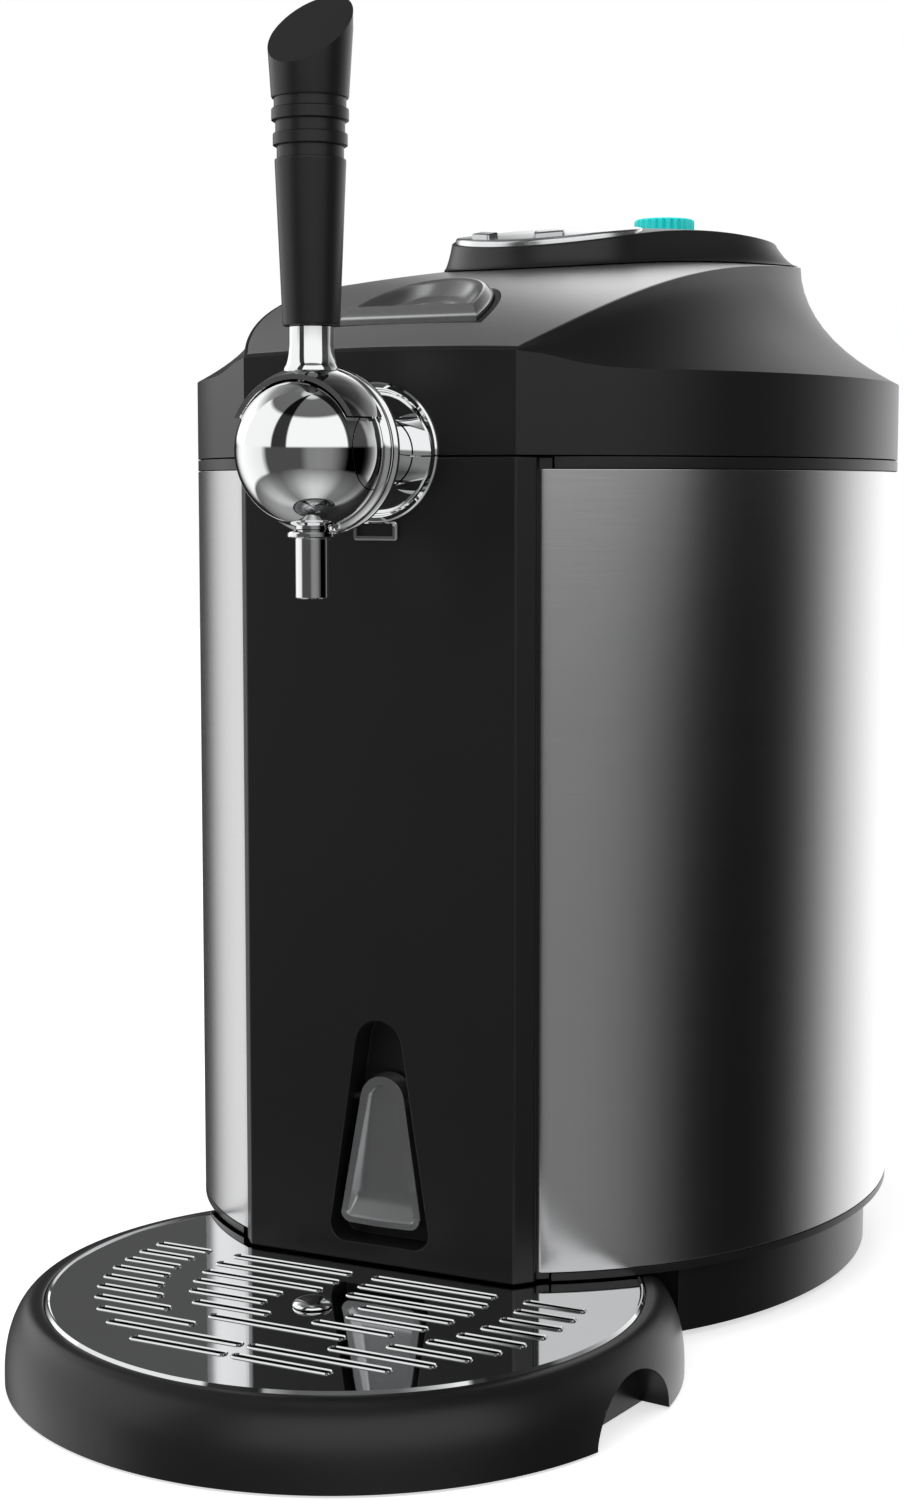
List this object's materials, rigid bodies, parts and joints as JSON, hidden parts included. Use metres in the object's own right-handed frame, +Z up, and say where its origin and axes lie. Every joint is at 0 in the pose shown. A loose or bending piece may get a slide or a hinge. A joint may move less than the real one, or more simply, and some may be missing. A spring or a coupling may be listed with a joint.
{
  "type": "mini keg beer dispenser",
  "caption": "Countertop cooled dispenser for a small beer keg, with a hinged lid, a chrome pull tap with a black handle, and a round drip tray under a slotted plate.",
  "frame": {"origin": "centre of the footprint at table height, under the feet", "axes": "+X to the right as seen from the front, +Y towards the rear grille, +Z up; the tap and drip tray are at -Y"},
  "size_m": [0.275, 0.4612, 0.4774],
  "materials": {
    "black_plastic": "satin",
    "soft_black": "matte",
    "stainless": "satin",
    "chrome": "polished",
    "chromed_plastic": "polished",
    "satin_silver": "satin",
    "grey_satin": "satin",
    "aluminium": "satin",
    "foam": "matte",
    "rubber": "matte",
    "turquoise": "gloss",
    "board_green": "satin",
    "ceramic": "matte"
  },
  "bodies": {
    "cabinet": {"front_panel": "black_plastic", "side_panel_left": "stainless", "side_panel_right": "stainless", "top_frame": "black_plastic", "bottom_frame": "black_plastic", "plinth": "black_plastic", "base_plate": "soft_black", "foot_front_left": "rubber", "foot_front_right": "rubber", "foot_rear_left": "rubber", "foot_rear_right": "rubber", "rear_housing": "black_plastic", "rear_grille": "soft_black", "power_inlet": "black_plastic", "circuit_board": "board_green", "keg_liner": "aluminium", "insulation_foam": "foam", "lid_gasket": "rubber", "cold_block": "aluminium", "cooling_module": "ceramic", "heat_sink": "aluminium", "fan_frame": "soft_black", "lever_pin": "stainless", "hinge_pin_left": "stainless", "hinge_pin_right": "stainless", "tap_ball": "chrome", "tap_flange": "chrome", "tap_shank": "chrome", "tap_nut": "chrome", "tap_spout": "chrome", "bezel_lower": "chrome", "pivot_cap_left": "chrome", "pivot_cap_right": "chrome", "pivot_pin": "stainless"},
    "handle": {"tap_yoke": "chrome", "tap_handle": "soft_black"},
    "valve": {"tap_valve": "stainless"},
    "fan": {"fan_rotor": "soft_black"},
    "lever": {"tray_lever": "grey_satin"},
    "tray": {"drip_tray": "black_plastic"},
    "plate": {"drip_plate": "chrome", "lift_knob": "chrome"},
    "lid": {"lid_shell": "black_plastic", "lid_top_plate": "satin_silver", "lid_liner": "soft_black", "lid_foam": "foam", "bezel_upper": "chrome", "latch_frame": "black_plastic", "latch_hooks": "soft_black", "control_pod": "black_plastic", "control_plate": "chromed_plastic", "control_board": "board_green", "dial_socket": "soft_black"},
    "latch_button": {"latch_button": "grey_satin"},
    "button_left": {"button_left": "chromed_plastic"},
    "button_right": {"button_right": "chromed_plastic"},
    "pressure_knob": {"pressure_knob": "turquoise"}
  },
  "joints": [
    {"name": "handle_pull", "type": "hinge", "parent": "cabinet", "child": "handle", "pos_m": [0, -0.1308, 0.3249], "axis": [1, 0, 0], "range_deg": [0, 23]},
    {"name": "valve_travel", "type": "slide", "parent": "cabinet", "child": "valve", "axis": [0, 1, 0], "range_m": [0, 0.003]},
    {"name": "lid_swing", "type": "hinge", "parent": "cabinet", "child": "lid", "pos_m": [0, 0.2246, 0.326], "axis": [-1, 0, 0], "range_deg": [0, 75]},
    {"name": "latch_press", "type": "slide", "parent": "lid", "child": "latch_button", "axis": [0, 0, -1], "range_m": [0, 0.0025], "stiffness_N_per_m": 600, "springref_m": -0.001},
    {"name": "left_button_press", "type": "slide", "parent": "lid", "child": "button_left", "axis": [0, 0, -1], "range_m": [0, 0.0012], "stiffness_N_per_m": 400, "springref_m": -0.001},
    {"name": "right_button_press", "type": "slide", "parent": "lid", "child": "button_right", "axis": [0, 0, -1], "range_m": [0, 0.0012], "stiffness_N_per_m": 400, "springref_m": -0.001},
    {"name": "knob_turn", "type": "hinge", "parent": "lid", "child": "pressure_knob", "pos_m": [0, 0.1896, 0.4179], "axis": [0, 0, 1], "range_deg": [0, 270]},
    {"name": "lever_swing", "type": "hinge", "parent": "cabinet", "child": "lever", "pos_m": [0, -0.0781, 0.0893], "axis": [-1, 0, 0], "range_deg": [0, 12], "stiffness_Nm_per_rad": 0.3, "springref_deg": -2.86},
    {"name": "tray_slide", "type": "slide", "parent": "cabinet", "child": "tray", "axis": [0, -1, 0], "range_m": [0, 0.12]},
    {"name": "plate_lift", "type": "slide", "parent": "tray", "child": "plate", "axis": [0, 0, 1], "range_m": [0, 0.02]},
    {"name": "fan_spin", "type": "hinge", "parent": "cabinet", "child": "fan", "pos_m": [0, 0.186, 0.19], "axis": [0, 1, 0], "continuous": true}
  ],
  "couplings": [
    {"joint": "valve_travel", "follows": "handle_pull", "m_per_rad": 0.00747}
  ]
}
